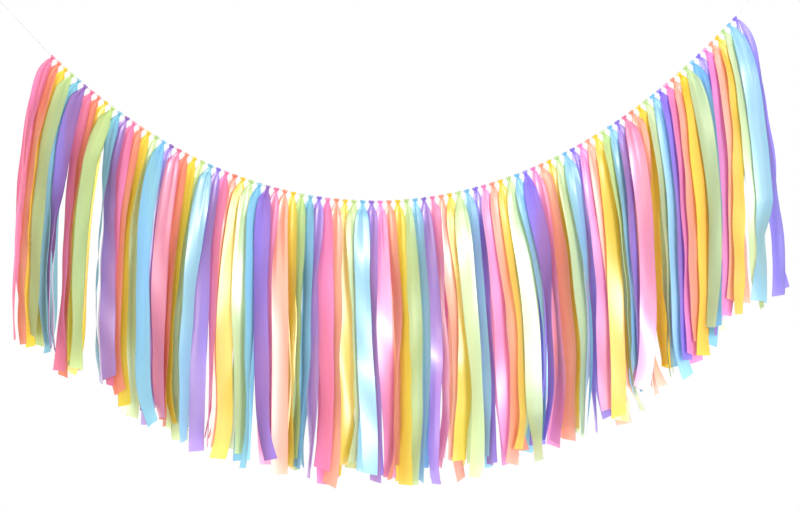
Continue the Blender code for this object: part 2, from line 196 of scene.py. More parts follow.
# %% How each tail differs
TURNS = {"w": (0.10, 0.60), "m": (0.75, 1.10), "n": (1.15, 1.45)}
OWN_DEPTHS = {"w": -0.012, "m": -0.006, "n": -0.003}
DRIFT_LETTERS = "abcdefghi"
DRIFT_STEP = KNOT_PITCH / 2.0
BACK_DRIFT = 0.8 * KNOT_PITCH
BACK_FOLLOWS = 0.7
BACK_DEPTH = 0.007
BACK_TURN = 1.45
BACK_LATER_TURN = 0.8
FRONT_LATER_TURN = 0.70
TAIL_LENGTH = 0.420
TAIL_SPREAD = (0.945, 1.030)
MOST_SLANT = 0.25
SWAY = 0.060
SWAY_WAVES = (0.26, 0.48)
TWIST = 0.45
TWIST_WAVES = (0.26, 0.48)
FLICK = 0.40
FLICK_POWER = 3
SEED = 5


def drift_of(letter):
    """How far a letter of the chart says that a tail drifts, to the right if positive."""
    return (DRIFT_LETTERS.index(letter) - DRIFT_LETTERS.index("e")) * DRIFT_STEP


def draw_habits():
    """How each tail differs. Front tails have even numbers, and the tails behind them odd ones."""
    chance = np.random.default_rng(SEED)
    tails = 2 * RIBBONS
    marks = " ".join(HANGING).split()
    first = BACK_TURN * chance.uniform(-1.0, 1.0, tails)
    first[::2] = [chance.uniform(*TURNS[mark[0].lower()]) * (1 if mark[0].isupper() else -1)
                  for mark in marks]
    later = BACK_LATER_TURN * chance.uniform(-1.0, 1.0, tails)
    later[::2] *= FRONT_LATER_TURN / BACK_LATER_TURN
    own_depth = np.full(tails, BACK_DEPTH)
    own_depth[::2] = [OWN_DEPTHS[mark[0].lower()] for mark in marks]
    halfway = BACK_DRIFT * chance.uniform(-1.0, 1.0, tails)
    by_end = halfway + BACK_DRIFT * chance.uniform(-1.0, 1.0, tails)
    halfway[::2] = [drift_of(mark[1]) for mark in marks]
    by_end[::2] = [drift_of(mark[2]) for mark in marks]
    halfway[1::2] += halfway[::2] * BACK_FOLLOWS
    by_end[1::2] += by_end[::2] * BACK_FOLLOWS
    return {
        "length": TAIL_LENGTH * chance.uniform(*TAIL_SPREAD, tails),
        "first": first,
        "later": later,
        "depth": own_depth,
        "halfway": halfway,
        "by_end": by_end,
        "slant": MOST_SLANT * chance.uniform(-1.0, 1.0, tails),
        "sway": SWAY * chance.uniform(-1.0, 1.0, tails),
        "wave": chance.uniform(*SWAY_WAVES, tails),
        "start": chance.uniform(0.0, 2.0 * math.pi, tails),
        "twist": TWIST * chance.uniform(-1.0, 1.0, tails),
        "twist_wave": chance.uniform(*TWIST_WAVES, tails),
        "twist_start": chance.uniform(0.0, 2.0 * math.pi, tails),
        "flick": FLICK * chance.uniform(-1.0, 1.0, tails) ** FLICK_POWER,
    }


habits = draw_habits()
print("tails from", round(habits["length"].min(), 3), "to", round(habits["length"].max(), 3), "m")

# %% How wide a tail is, and how it leans
RIBBON_WIDTH = 0.025
GATHERED_WIDTH = 0.0065
OPENS_FROM = 0.007
OPEN_FADE = 0.020
# Shares of the string's slope by which a tail leans outwards, and how soon each share fades
LEAN_FADES = ((0.70, 0.018), (0.25, 0.200))
SWAYS_BY = 0.085
FLICKS_FROM = 0.78
FIRST_TURN_BY = 0.050


def width_at(drop):
    """Width of a tail at a distance below its string: gathered in the knot, then soon open."""
    share = 1.0 - np.exp(-np.maximum(drop - OPENS_FROM, 0.0) / OPEN_FADE)
    return GATHERED_WIDTH + (RIBBON_WIDTH - GATHERED_WIDTH) * share


def lean_at(drop, slope, habits):
    """How far off plumb each tail runs: out from its knot, in a slow wave, and to its own drift."""
    outward = slope * sum(share * np.exp(-drop / fade) for share, fade in LEAN_FADES)
    wave = habits["sway"] * np.sin(habits["start"] + 2.0 * math.pi * drop / habits["wave"])
    halfway, by_end = habits["halfway"], habits["by_end"]
    down = drop / habits["length"]
    # The slope of the parabola that goes through both drifts
    drift = (4.0 * halfway - by_end + (4.0 * by_end - 8.0 * halfway) * down) / habits["length"]
    flick = habits["flick"] * ease((down - FLICKS_FROM) / (1.0 - FLICKS_FROM))
    return outward + (wave + drift) * ease(drop / SWAYS_BY) + flick


def aim_at(drop, habits):
    """Which way each tail faces if nothing is in its way: its own way, in a wave, and slowly on."""
    place = habits["twist_start"] + 2.0 * math.pi * drop / habits["twist_wave"]
    near = habits["first"] + habits["twist"] * np.sin(place)
    return near * ease(drop / FIRST_TURN_BY) + habits["later"] * drop / TAIL_LENGTH


print("widths", np.round(width_at(np.array([0.01, 0.02, 0.05, 0.1])), 4))

# %% Where daylight shows between the tails
# Each place is below a point of the string, counted in knots. It has a top and a bottom, across
# and up from the string's lowest point, and half its greatest width.
DAYLIGHT = (
    (5.5, (-0.4665, 0.007), (-0.4785, -0.222), 0.0060),
    (9.5, (-0.4110, 0.085), (-0.4350, -0.203), 0.0070),
    (88.5, (0.5835, -0.021), (0.5925, -0.150), 0.0060),
)
print("daylight shows in", len(DAYLIGHT), "places")

# %% How tails that meet give way
REACH = 5
ROUNDS = 40
FEELERS = np.linspace(-1.0, 1.0, 6)
NO_DISTANCE = 1e-9
EDGE_INSET = 0.0003
TOP_GAP = 0.0015
LOW_GAP = 0.0028
LOW_GAP_BY = 0.060
SIDE_GIVE = 0.10
DEPTH_GIVE = 0.40
TURN_GIVE = 0.80
CLOSE_ENOUGH = 0.0002


def half_gap_at(drop):
    """Half of the room that two tails leave between them at a distance below the string."""
    return TOP_GAP + (LOW_GAP - TOP_GAP) * ease(drop / LOW_GAP_BY)


def let_light_through(x, gap, sides, height):
    """How far the points across each tail are pushed out of the places where daylight shows."""
    push = np.zeros(x.shape)
    for side, (_, top, bottom, widest) in zip(sides, DAYLIGHT):
        down = (top[1] - height) / (top[1] - bottom[1])
        if 0.0 < down < 1.0:
            middle = top[0] + (bottom[0] - top[0]) * down
            half = widest * math.sin(math.pi * down)
            inside = np.maximum((half + gap)[:, None] - side[:, None] * (x - middle), 0.0)
            push += side[:, None] * inside
    return push


def give_way(across, depth, turn, drop, first, second, sides, height):
    """Moves and turns the tails until no two of them are nearer than their gaps allow."""
    gap = half_gap_at(drop)
    reach = FEELERS * (width_at(drop) / 2.0 - EDGE_INSET)[:, None]
    for _ in range(ROUNDS):
        facing = np.stack([np.cos(turn), np.sin(turn)])
        x = across[:, None] + reach * facing[0][:, None]
        y = depth[:, None] + reach * facing[1][:, None]
        apart = np.stack([x[first][:, :, None] - x[second][:, None, :],
                          y[first][:, :, None] - y[second][:, None, :]])
        distance = np.hypot(*apart) + NO_DISTANCE
        overlap = np.maximum((gap[first] + gap[second])[:, None, None] - distance, 0.0)
        aside = let_light_through(x, gap, sides, height)
        if max(overlap.max(initial=0.0), np.abs(aside).max()) < CLOSE_ENOUGH:
            break
        push = apart * overlap / distance / 2.0
        force = np.stack([aside, np.zeros(reach.shape)])
        for axis in (0, 1):
            np.add.at(force[axis], first, push[axis].sum(axis=2))
            np.add.at(force[axis], second, -push[axis].sum(axis=1))
        twist = (force[1] * facing[0][:, None] - force[0] * facing[1][:, None]) * reach
        across += SIDE_GIVE * force[0].sum(axis=1)
        depth += DEPTH_GIVE * force[1].sum(axis=1)
        turn += TURN_GIVE * twist.sum(axis=1) / (reach ** 2).sum(axis=1)


print("two tails keep", 2.0 * TOP_GAP, "m apart at the top and", 2.0 * LOW_GAP, "m below")

# %% Lower all the tails together
ROOT_DROP = 0.010
ROOT_DEPTH = 0.0022
LEVEL = 0.008
TURN_SHARE = 0.14
SETTLES_BELOW = 0.050
SETTLING = 0.020
LOWEST_END = 1.1 * TAIL_LENGTH
SMOOTHING = 3


def root_at(ribbon):
    """Across, height and slope where the tails of a ribbon leave its knot."""
    across, height, slope = on_curve(ribbon)
    return across + np.sin(slope) * ROOT_DROP, height - np.cos(slope) * ROOT_DROP, slope


def smoothed(path):
    """A path whose across, depth and turn are averaged over a few levels."""
    padded = np.pad(path, ((SMOOTHING, SMOOTHING), (0, 0)), mode="reflect", reflect_type="odd")
    weights = np.ones(2 * SMOOTHING + 1) / (2 * SMOOTHING + 1)
    return np.stack([np.convolve(column, weights, mode="valid") for column in padded.T], axis=1)


def hang_tails(habits):
    """Each tail's path, with columns of drop along the tail, across, depth, height and turn."""
    ribbon = np.repeat(np.arange(RIBBONS), 2)
    across, root, slope = root_at(ribbon)
    depth = np.tile([-ROOT_DEPTH, ROOT_DEPTH], RIBBONS)
    turn = np.zeros(2 * RIBBONS)
    drop = np.full(2 * RIBBONS, ROOT_DROP)
    first, second = np.triu_indices(2 * RIBBONS, 1)
    near = ribbon[second] - ribbon[first] <= REACH
    first, second = first[near], second[near]
    from_light = ribbon - np.array([place[0] for place in DAYLIGHT])[:, None]
    sides = np.sign(from_light) * (abs(from_light) < REACH)
    paths = [[] for _ in ribbon]
    for height in np.arange(root.max(), (root - LOWEST_END).min(), -LEVEL):
        moves = (height < root) & (drop < habits["length"] + LEVEL)
        lean = lean_at(drop, slope, habits)
        step = np.where(moves, LEVEL, 0.0)
        across += step * np.tan(lean)
        drop += step / np.cos(lean)
        turn += np.where(moves, TURN_SHARE * (aim_at(drop, habits) - turn), 0.0)
        depth += np.where(moves & (drop > SETTLES_BELOW), SETTLING * (habits["depth"] - depth), 0.0)
        meet = moves[first] & moves[second]
        give_way(across, depth, turn, drop, first[meet], second[meet], sides * moves, height)
        for tail in np.flatnonzero(moves):
            paths[tail].append((drop[tail], across[tail], depth[tail], height, turn[tail]))
    return [smoothed(np.array(path)) for path in paths]


paths = hang_tails(habits)
print("lowered", len(paths), "tails, the longest in", max(map(len, paths)), "levels")

# %% [markdown]
# A ribbon is one flat strip of satin, and here too it starts flat: a grid with a column of faces
# for every millimetre and a half of its width. Each row of the grid is then carried to its place,
# which has a middle, a direction across, a normal and a width. The grid keeps the flat strip's own
# UV map, so the weave, the selvedges and the sheen stay with the cloth however it hangs.

# %% Rows of a strip
COLUMNS = 16
TAIL_ROWS = 64
ROW_CROWDING = 1.35
LEAVES_BY = 0.012


def spline_at(points, places):
    """Where a smooth curve through the points is, at places counted in points from the first."""
    k = np.clip(places.astype(int), 0, len(points) - 2)
    t = (places - k)[:, None]
    ends = np.concatenate([2 * points[:1] - points[1:2], points, 2 * points[-1:] - points[-2:-1]])
    a, b, c, d = (ends[k + shift] for shift in range(4))
    return (2 * b + (c - a) * t + (2 * a - 5 * b + 4 * c - d) * t ** 2
            + (3 * (b - c) + d - a) * t ** 3) / 2


def unit(vectors):
    """The same directions, one metre long."""
    return vectors / np.linalg.norm(vectors, axis=-1, keepdims=True)


def tail_rows(tail):
    """Rows of a tail from its root down: middle, normal, half width and drop."""
    path, length = paths[tail], habits["length"][tail]
    across, height, _ = root_at(tail // 2)
    root = (ROOT_DROP, across, ROOT_DEPTH if tail % 2 else -ROOT_DEPTH, height, 0.0)
    path = np.vstack([root, path[path[:, 0] > ROOT_DROP + LEAVES_BY]])
    drop = ROOT_DROP + (length - ROOT_DROP) * np.linspace(0.0, 1.0, TAIL_ROWS) ** ROW_CROWDING
    place = spline_at(path, np.interp(drop, path[:, 0], np.arange(len(path))))
    middle = place[:, 1:4]
    facing = np.stack([np.cos(place[:, 4]), np.sin(place[:, 4]), np.zeros(TAIL_ROWS)], axis=1)
    normal = unit(np.cross(np.gradient(middle, axis=0), facing))
    return middle, normal, width_at(drop) / 2.0, drop


print("a tail has", TAIL_ROWS, "rows, the last", np.round(tail_rows(0)[0][-1], 3))

# %% [markdown]
# The knot is a lark's head: the ribbon is folded in half, its fold is laid behind the string, and
# both tails come over the string and down through the fold. It could be a small lump with a cloth
# bump, but up close a real one shows the gathered strip winding round the string. So the rows of
# the strip run on through it. They come up from the front tail, behind the string, over it and
# under it, across the back as the bar that holds the tails, and the same way back on the other
# side. A short table has the way of the first half, and the other half mirrors it.

# %% The strip's way through its knot
MM = 0.001
KNOT_WAY = (
    # across, depth and height, half width, and the way that the inner face looks, in mm
    (-0.5, -1.5, -7.0, 3.10, -1.0, 0.0),
    (-0.8, -0.5, -5.2, 2.30, -1.0, 0.1),
    (-0.9, 0.8, -3.6, 1.50, -1.0, 0.4),
    (-1.0, 1.6, -1.8, 1.40, -1.0, 0.1),
    (-1.2, 1.8, 0.0, 1.60, -1.0, 0.0),
    (-1.5, 1.3, 1.4, 1.80, -0.7, -0.7),
    (-1.8, 0.0, 1.9, 1.95, 0.0, -1.0),
    (-2.0, -1.35, 1.3, 2.05, 0.7, -0.7),
    (-2.1, -1.85, 0.0, 2.05, 1.0, 0.0),
    (-2.1, -1.4, -1.4, 1.90, 0.7, 0.7),
    (-2.1, -0.2, -2.2, 1.70, 0.0, 1.0),
    (-2.1, 1.2, -2.6, 1.50, 0.0, 1.0),
    (-1.7, 2.1, -2.9, 1.40, -0.5, 0.8),
    (-0.9, 2.6, -3.0, 1.40, -1.0, 0.3),
)
BAR = (0.0, 2.75, -3.0, 1.40, -1.0, 0.1)
BACK_NECK = ((0.8, 1.3, -5.2, 2.30, -1.0, 0.0), (0.5, 1.6, -7.0, 3.10, -1.0, 0.0))
KNOT_ROWS = 57
KNOT_SIZES = (0.92, 1.08)
KNOT_TILT = 0.16
TILT_FADES_BY = 0.005
KNOT_SEED = 5
knot_chance = np.random.default_rng(KNOT_SEED)
KNOT_SCALES = knot_chance.uniform(*KNOT_SIZES, RIBBONS)
KNOT_TILTS = KNOT_TILT * knot_chance.uniform(-1.0, 1.0, RIBBONS)
KNOT_HANDS = knot_chance.choice((-1.0, 1.0), RIBBONS)


def knot_way():
    """The whole table of the way through a knot, its second half mirrored from the first."""
    first = np.array(KNOT_WAY)
    second = first[:len(BACK_NECK) - 1:-1] * (-1.0, 1.0, 1.0, 1.0, 1.0, 1.0)
    return np.concatenate([first, [BAR], second, BACK_NECK])


def knot_rows(knot):
    """Rows through a knot, from the front to the back: middle, normal, half width and drop."""
    way = knot_way()
    way = spline_at(way, np.linspace(0.0, len(way) - 1, KNOT_ROWS))
    place = way[:, :3] * (KNOT_HANDS[knot], 1.0, 1.0) * MM
    tilt = KNOT_TILTS[knot] * (1.0 - ease(-place[:, 2] / TILT_FADES_BY))
    place[:, 2] += place[:, 0] * tilt
    place *= (KNOT_SCALES[knot], 1.0, 1.0)
    inward = np.stack([np.zeros(KNOT_ROWS), way[:, 4], way[:, 5]], axis=1)
    across, height, slope = on_curve(knot)
    turned = np.array([[np.cos(slope), 0.0, np.sin(slope)],
                       [0.0, 1.0, 0.0],
                       [-np.sin(slope), 0.0, np.cos(slope)]])
    return (place @ turned + (across, 0.0, height), inward @ turned,
            way[:, 3] * MM * KNOT_SCALES[knot], np.maximum(-place[:, 2], 0.0))


print("rows through a knot:", len(knot_rows(0)[0]))

# %% All the rows of one ribbon
def ribbon_rows(knot):
    """A ribbon's rows from its front end, through its knot, to its back end."""
    front, back = tail_rows(2 * knot), tail_rows(2 * knot + 1)
    middle, normal, half, drop = (
        np.concatenate([ahead[::-1], through, behind])
        for ahead, through, behind in zip(front, knot_rows(knot), back))
    along = unit(np.gradient(middle, axis=0))
    across = unit(np.cross(along, normal))
    return middle, along, across, np.cross(across, along), half, drop


rows = ribbon_rows(0)
print("a ribbon has", len(rows[0]), "rows and is",
      round(float(np.linalg.norm(np.diff(rows[0], axis=0), axis=1).sum()), 3), "m long")

# %% [markdown]
# Satin is stiff enough to remember the knot. The pleats that gather it run on below as fine folds
# that fade. Further down a ribbon has one broad crease that wanders across it, a gentle curl, and
# slow waves that run aslant. They could be bump in the material, but they catch the light along
# their whole length and show at the cut ends, so they are in the mesh. Together they stay inside
# the room that the tails keep between them.

# %% How much each tail is pleated, creased and curled
TAILS = 2 * RIBBONS
FOLD_SEED = 31
fold_chance = np.random.default_rng(FOLD_SEED)
FOLDS = {
    "waves": fold_chance.uniform(1.3, 2.3, TAILS),
    "phase": fold_chance.uniform(0.0, 2.0 * math.pi, TAILS),
    "fine_waves": fold_chance.uniform(3.2, 4.6, TAILS),
    "pleat_fade": fold_chance.uniform(0.018, 0.050, TAILS),
    "place": fold_chance.uniform(-0.7, 0.7, TAILS),
    "wander": fold_chance.uniform(-1.6, 1.6, TAILS),
    "crease": fold_chance.uniform(0.20, 0.65, TAILS) * fold_chance.choice((-1, 1), TAILS),
    "curl": fold_chance.uniform(-0.45, 0.45, TAILS),
    "wave": fold_chance.uniform(0.20, 0.55, TAILS),
    "wave_length": fold_chance.uniform(0.075, 0.190, TAILS),
    "aslant": fold_chance.uniform(-1.8, 1.8, TAILS),
    "slow": fold_chance.uniform(0.0, 2.0 * math.pi, TAILS),
    "slow_length": fold_chance.uniform(0.16, 0.34, TAILS),
}
print("folds drawn for", TAILS, "tails")

# %% The folds across a strip
CLEARANCE = 0.0003
BULGE = 0.0006
BULGE_ENDS = 0.007
PLEAT_SHARE = 0.80
FINE_SHARE = 0.25
TIGHT_SHARE = 0.32
TIGHT_TO, LOOSE_BY = 0.003, 0.012
CREASE_ROUND = 0.14
SLOW_SHARE = 0.45


def creased(v, place):
    """Height of a sheet folded along one line: level far from it, and at most one high or low."""
    nearest = np.maximum(np.abs(place) - 1.0, 0.0)
    middle = (nearest + 1.0 + np.abs(place)) / 2.0
    return middle - np.hypot(v - place, CREASE_ROUND)


def fold_heights(v, drop, habit):
    """How far the cloth stands off its middle plane, for places across and drops below."""
    room = half_gap_at(drop) - CLEARANCE
    tight = TIGHT_SHARE + (1.0 - TIGHT_SHARE) * ease((drop - TIGHT_TO) / (LOOSE_BY - TIGHT_TO))
    gathered = np.exp(-np.maximum(drop - LOOSE_BY, 0.0) / habit["pleat_fade"])
    pleats = ((1.0 - FINE_SHARE) * np.cos(habit["phase"] + math.pi * habit["waves"] * v)
              + FINE_SHARE * np.cos(2.0 * habit["phase"] + math.pi * habit["fine_waves"] * v))
    slow = 1.0 - SLOW_SHARE + SLOW_SHARE * np.sin(habit["slow"] + 2.0 * math.pi * drop
                                                  / habit["slow_length"])
    crease = habit["crease"] * slow * creased(v, habit["place"] + habit["wander"] * drop
                                              / TAIL_LENGTH)
    curl = habit["curl"] * (2.0 * v * v - 1.0)
    wave = habit["wave"] * np.sin(habit["slow"] + 2.0 * math.pi * drop / habit["wave_length"]
                                  + habit["aslant"] * v)
    open_folds = np.clip(crease + curl + wave, -1.0, 1.0)
    bulge = BULGE * v * v * (1.0 - ease(drop / BULGE_ENDS))
    return bulge + room * tight * (PLEAT_SHARE * gathered * pleats + (1.0 - gathered) * open_folds)


def habit_of(knot, rows):
    """Each fold habit down the rows of a ribbon, from its front tail's to its back tail's."""
    share = np.clip((np.arange(rows) - TAIL_ROWS) / (rows - 2 * TAIL_ROWS - 1), 0.0, 1.0)[:, None]
    return {name: values[2 * knot] * (1.0 - share) + values[2 * knot + 1] * share
            for name, values in FOLDS.items()}


print("folds stand off", round(float(abs(fold_heights(
    np.linspace(-1, 1, 9)[None], np.full((190, 1), 0.1), habit_of(0, 190))).max()), 5), "m")

# %% Hang a flat strip in its rows
CUT_FROM = 0.03


def flat_grid(columns, rows):
    """A flat grid with the UV map of the flat cloth."""
    grid = bmesh.new()
    grid.loops.layers.uv.new("cloth")
    bmesh.ops.create_grid(grid, x_segments=columns, y_segments=rows - 1, size=1.0, calc_uvs=True)
    return grid


def carry(grid, places):
    """Moves each vertex of the flat grid to the place of its row and column."""
    rows, columns = places.shape[0] - 1, places.shape[1] - 1
    for vert in grid.verts:
        row = round((vert.co.y + 1.0) / 2.0 * rows)
        column = round((vert.co.x + 1.0) / 2.0 * columns)
        vert.co = places[row, column]


def ribbon_places(knot):
    """Where each point of a ribbon's grid hangs."""
    middle, along, across, normal, half, drop = (
        part[:, None] for part in ribbon_rows(knot))
    rows = len(middle)
    v = np.linspace(-1.0, 1.0, COLUMNS + 1)[None]
    tail = 2 * knot + (np.arange(rows) > rows // 2)
    to_end = habits["length"][tail][:, None] - drop
    cut = habits["slant"][tail][:, None] * (1.0 - ease(to_end / CUT_FROM)) * half * v
    lift = fold_heights(v, drop, habit_of(knot, rows))
    return (middle + across * (half * v)[..., None] + normal * lift[..., None]
            + along * cut[..., None] - ORIGIN)


print("points of the first ribbon:", ribbon_places(0).shape)

# %% Add a finished piece
def add_piece(name, shape, *materials):
    """Makes the object of a finished shape, smooth shaded, and lets it ride with the garland."""
    mesh = bpy.data.meshes.new(name)
    shape.to_mesh(mesh)
    shape.free()
    mesh.shade_smooth()
    for material in materials:
        mesh.materials.append(material)
    piece = bpy.data.objects.new(name, mesh)
    bpy.context.collection.objects.link(piece)
    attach(piece, "root")
    return piece


# %% [markdown]
# Satin ribbon: woven polyester whose long threads float on its face, so it is smooth and shines.
# The shine is nearly white, and it is what makes a ribbon pale where it faces the light and deep
# where it turns away. Its other side is dull and deeper in colour. The cloth is thin, and light
# comes through it. It could be six materials with six weaves, but the six dyes share one weave,
# so that is a node group: fine lengthwise threads, faint lengthwise streaks of painted sheen, a
# firm selvedge along both edges, and a dye that isn't quite even. The dye is also painted warmer
# and deeper at the left end and cooler at the right, as painted light and shade.

# %% Helpers for materials
def new_material(name):
    """A material with nodes, and its Principled shader."""
    material = bpy.data.materials.new(name)
    material.use_nodes = True
    return material, material.node_tree.nodes["Principled BSDF"]


def node(tree, kind, inputs=(), **settings):
    """A node of a kind with its settings, and its inputs set or linked by name or number."""
    made = tree.nodes.new(f"ShaderNode{kind}")
    for name, value in settings.items():
        setattr(made, name, value)
    for name, value in dict(inputs).items():
        if isinstance(value, bpy.types.NodeSocket):
            tree.links.new(value, made.inputs[name])
        else:
            made.inputs[name].default_value = value
    return made


def start_group(name, inputs, outputs):
    """An empty node group with named sockets, and the nodes that hold its inputs and outputs."""
    group = bpy.data.node_groups.new(name, "ShaderNodeTree")
    for socket, kind in inputs.items():
        group.interface.new_socket(socket, in_out="INPUT", socket_type=f"NodeSocket{kind}")
    for socket, kind in outputs.items():
        group.interface.new_socket(socket, in_out="OUTPUT", socket_type=f"NodeSocket{kind}")
    return group, group.nodes.new("NodeGroupInput"), group.nodes.new("NodeGroupOutput")


print("helpers for materials, nodes and node groups are ready")

# %% The satin weave
# How closely each pattern repeats: across and along the cloth's map, or in a metre
THREADS = (150.0, 90.0, 1.0)
# The streaks are painted sheen, darkened into the dye
SHEEN_STREAKS = (9.0, 2.5, 1.0)
DYE_LOTS = (34.0, 20.0, 3.0)
# Where across, in metres, and by how much of the mix the dyes are painted from warmer and deeper at
# the left end to cooler at the right: painted light and shade
PAINTED_WARMTH_ENDS = (0.1, 1.1)
MOST_PAINTED_WARMTH = 0.12
# Where the selvedge starts and is whole, from the middle of the ribbon, in widths
SELVEDGE = (0.455, 0.475)
weave, given, made = start_group(
    "satin_weave", {"Dye": "Color", "Second Dye": "Color"},
    {"Color": "Color", "Roughness": "Float", "Height": "Float"})


def stretched_noise(tree, place, scale, detail=2.0):
    """Noise over a place stretched by its own number along each axis."""
    wide = node(tree, "VectorMath", {0: place, 1: scale}, operation="MULTIPLY")
    return node(tree, "TexNoise", {"Vector": wide.outputs[0], "Scale": 1.0, "Detail": detail})


def remapped(tree, value, low, high, to_low, to_high):
    """A value's range carried to another range."""
    return node(tree, "MapRange", {"Value": value, "From Min": low, "From Max": high,
                                   "To Min": to_low, "To Max": to_high}).outputs["Result"]


def calculated(tree, operation, *values):
    """A sum or the like of values, each a number or a socket."""
    return node(tree, "Math", enumerate(values), operation=operation).outputs[0]


def mixed(tree, share, first, second):
    """Two colours mixed by a share."""
    return node(tree, "Mix", {0: share, 6: first, 7: second}, data_type="RGBA").outputs[2]


cloth_map = node(weave, "UVMap", uv_map="cloth").outputs["UV"]
place = node(weave, "TexCoord").outputs["Object"]
threads = stretched_noise(weave, cloth_map, THREADS).outputs["Fac"]
sheen_streaks = stretched_noise(weave, cloth_map, SHEEN_STREAKS).outputs["Fac"]
lots = stretched_noise(weave, place, DYE_LOTS, 1.0).outputs["Fac"]
# Painted light and shade: the dye lots are shifted by how far right a point is, so the dyes are
# warmer and deeper at the left end and cooler at the right
rightward = node(weave, "SeparateXYZ", {0: place}).outputs["X"]
drift = remapped(weave, rightward, *PAINTED_WARMTH_ENDS, MOST_PAINTED_WARMTH, -MOST_PAINTED_WARMTH)
lots_and_painted_warmth = calculated(weave, "ADD", lots, drift)
across = node(weave, "SeparateXYZ", {0: cloth_map}).outputs["X"]
aside = calculated(weave, "SUBTRACT", across, 0.5)
from_middle = calculated(weave, "ABSOLUTE", aside)
selvedge = remapped(weave, from_middle, *SELVEDGE, 0.0, 1.0)
print("the weave has", len(weave.nodes), "nodes so far")

# %% What the weave puts out
MOST_NOISE = (0.3, 0.7)
DYE_CHANGES = (0.36, 0.64)
# The streaks' darkening is painted sheen; the threads and the selvedge are the cloth's own
SHEEN_STREAK_DEPTH, THREAD_DEPTH, SELVEDGE_DEPTH = 0.06, 0.05, 0.16
CLOTH_ROUGH, SELVEDGE_ROUGH = 0.38, 0.50
BLACK = (0.0, 0.0, 0.0, 1.0)
dyed = mixed(weave, remapped(weave, lots_and_painted_warmth, *DYE_CHANGES, 0.0, 1.0),
             given.outputs["Dye"], given.outputs["Second Dye"])
# Painted sheen: the dye is darkened a little along the streaks
sheen_streaked = mixed(weave, remapped(weave, sheen_streaks, *MOST_NOISE, SHEEN_STREAK_DEPTH, 0.0), dyed, BLACK)
threaded = mixed(weave, remapped(weave, threads, *MOST_NOISE, THREAD_DEPTH, 0.0), sheen_streaked, BLACK)
edged = mixed(weave, remapped(weave, selvedge, 0.0, 1.0, 0.0, SELVEDGE_DEPTH), threaded, BLACK)
roughness = remapped(weave, selvedge, 0.0, 1.0, CLOTH_ROUGH, SELVEDGE_ROUGH)
weave.links.new(edged, made.inputs["Color"])
weave.links.new(roughness, made.inputs["Roughness"])
weave.links.new(calculated(weave, "ADD", selvedge, threads), made.inputs["Height"])
print("the weave gives", [socket.name for socket in made.inputs if socket.name])

# %% The six satins
# Each has two dyes, mixed at random, and also painted towards the second at the left end and the
# first at the right: painted light and shade, warmer and deeper at the left, cooler at the right
SATINS = {
    "pink": ((0.88, 0.34, 0.68), (0.82, 0.28, 0.44)),
    "coral": ((0.90, 0.46, 0.33), (0.86, 0.33, 0.23)),
    "yellow": ((0.90, 0.64, 0.07), (0.85, 0.68, 0.06)),
    "green": ((0.58, 0.74, 0.40), (0.60, 0.73, 0.34)),
    "blue": ((0.28, 0.59, 0.88), (0.30, 0.60, 0.72)),
    "purple": ((0.35, 0.27, 0.86), (0.40, 0.22, 0.56)),
}
FLOATING_THREADS = {"Anisotropic": 0.75, "IOR": 1.6, "Specular IOR Level": 0.8,
                    "Coat IOR": 1.8, "Coat Roughness": 0.32}
GRAIN_HEIGHT = 0.00008
GRAIN_STRENGTH = 0.6
SEEN_THROUGH = 0.48
DULL_DEPTH = 1.22
DULL_ROUGHER = 0.25


def make_satin(name, dye, second_dye):
    """Satin with a shining face and a dull back, in a dye that varies a little."""
    satin, cloth = new_material(name)
    tree = satin.node_tree
    woven = node(tree, "Group", node_tree=weave)
    woven.inputs["Dye"].default_value = (*dye, 1.0)
    woven.inputs["Second Dye"].default_value = (*second_dye, 1.0)
    grain = node(tree, "Bump", {"Height": woven.outputs["Height"], "Distance": GRAIN_HEIGHT,
                                "Strength": GRAIN_STRENGTH}).outputs["Normal"]
    dull = node(tree, "NewGeometry").outputs["Backfacing"]
    depth = remapped(tree, dull, 0.0, 1.0, 1.0, DULL_DEPTH)
    colour = node(tree, "Gamma", {"Color": woven.outputs["Color"], "Gamma": depth}).outputs["Color"]
    tree.links.new(colour, cloth.inputs["Base Color"])
    rougher = remapped(tree, dull, 0.0, 1.0, 0.0, DULL_ROUGHER)
    tree.links.new(calculated(tree, "ADD", woven.outputs["Roughness"], rougher),
                   cloth.inputs["Roughness"])
    tree.links.new(remapped(tree, dull, 0.0, 1.0, 1.0, 0.0), cloth.inputs["Coat Weight"])
    tree.links.new(grain, cloth.inputs["Normal"])
    floats = node(tree, "Tangent", direction_type="UV_MAP", uv_map="cloth").outputs["Tangent"]
    tree.links.new(floats, cloth.inputs["Tangent"])
    for socket, value in FLOATING_THREADS.items():
        cloth.inputs[socket].default_value = value
    through = node(tree, "BsdfTranslucent", {"Color": colour, "Normal": grain})
    both = node(tree, "MixShader", {0: SEEN_THROUGH, 1: cloth.outputs["BSDF"],
                                    2: through.outputs["BSDF"]})
    tree.links.new(both.outputs["Shader"], tree.nodes["Material Output"].inputs["Surface"])
    return satin


satins = {name: make_satin(f"{name}_satin_cloth", *dyes) for name, dyes in SATINS.items()}
print("dyed", len(satins), "satins")

# %% [markdown]
# The string is thin cotton, three strands twisted together. It could be a plain round curve, but
# its twist shows up close, so it is a flat grid rolled into a tube round its line, with three
# lobes that turn as they go. The same tube makes the loops and, wound in a coil, the hard knots
# that tie them.

# %% Twine
TWIST_PITCH = 0.0036
TWIST_ROWS = 12
TWINE_SIDES = 9
STRANDS = 3
STRAND_DEPTH = 0.13
MERGED_WITHIN = 1e-7


def evenly(line, gap):
    """Points on a smooth curve through a line, a gap apart."""
    line = np.array(line)
    along = np.concatenate([[0.0], np.cumsum(np.linalg.norm(np.diff(line, axis=0), axis=1))])
    even = np.linspace(0.0, along[-1], max(int(round(along[-1] / gap)), 2) + 1)
    return spline_at(line, np.interp(even, along, np.arange(len(line))))


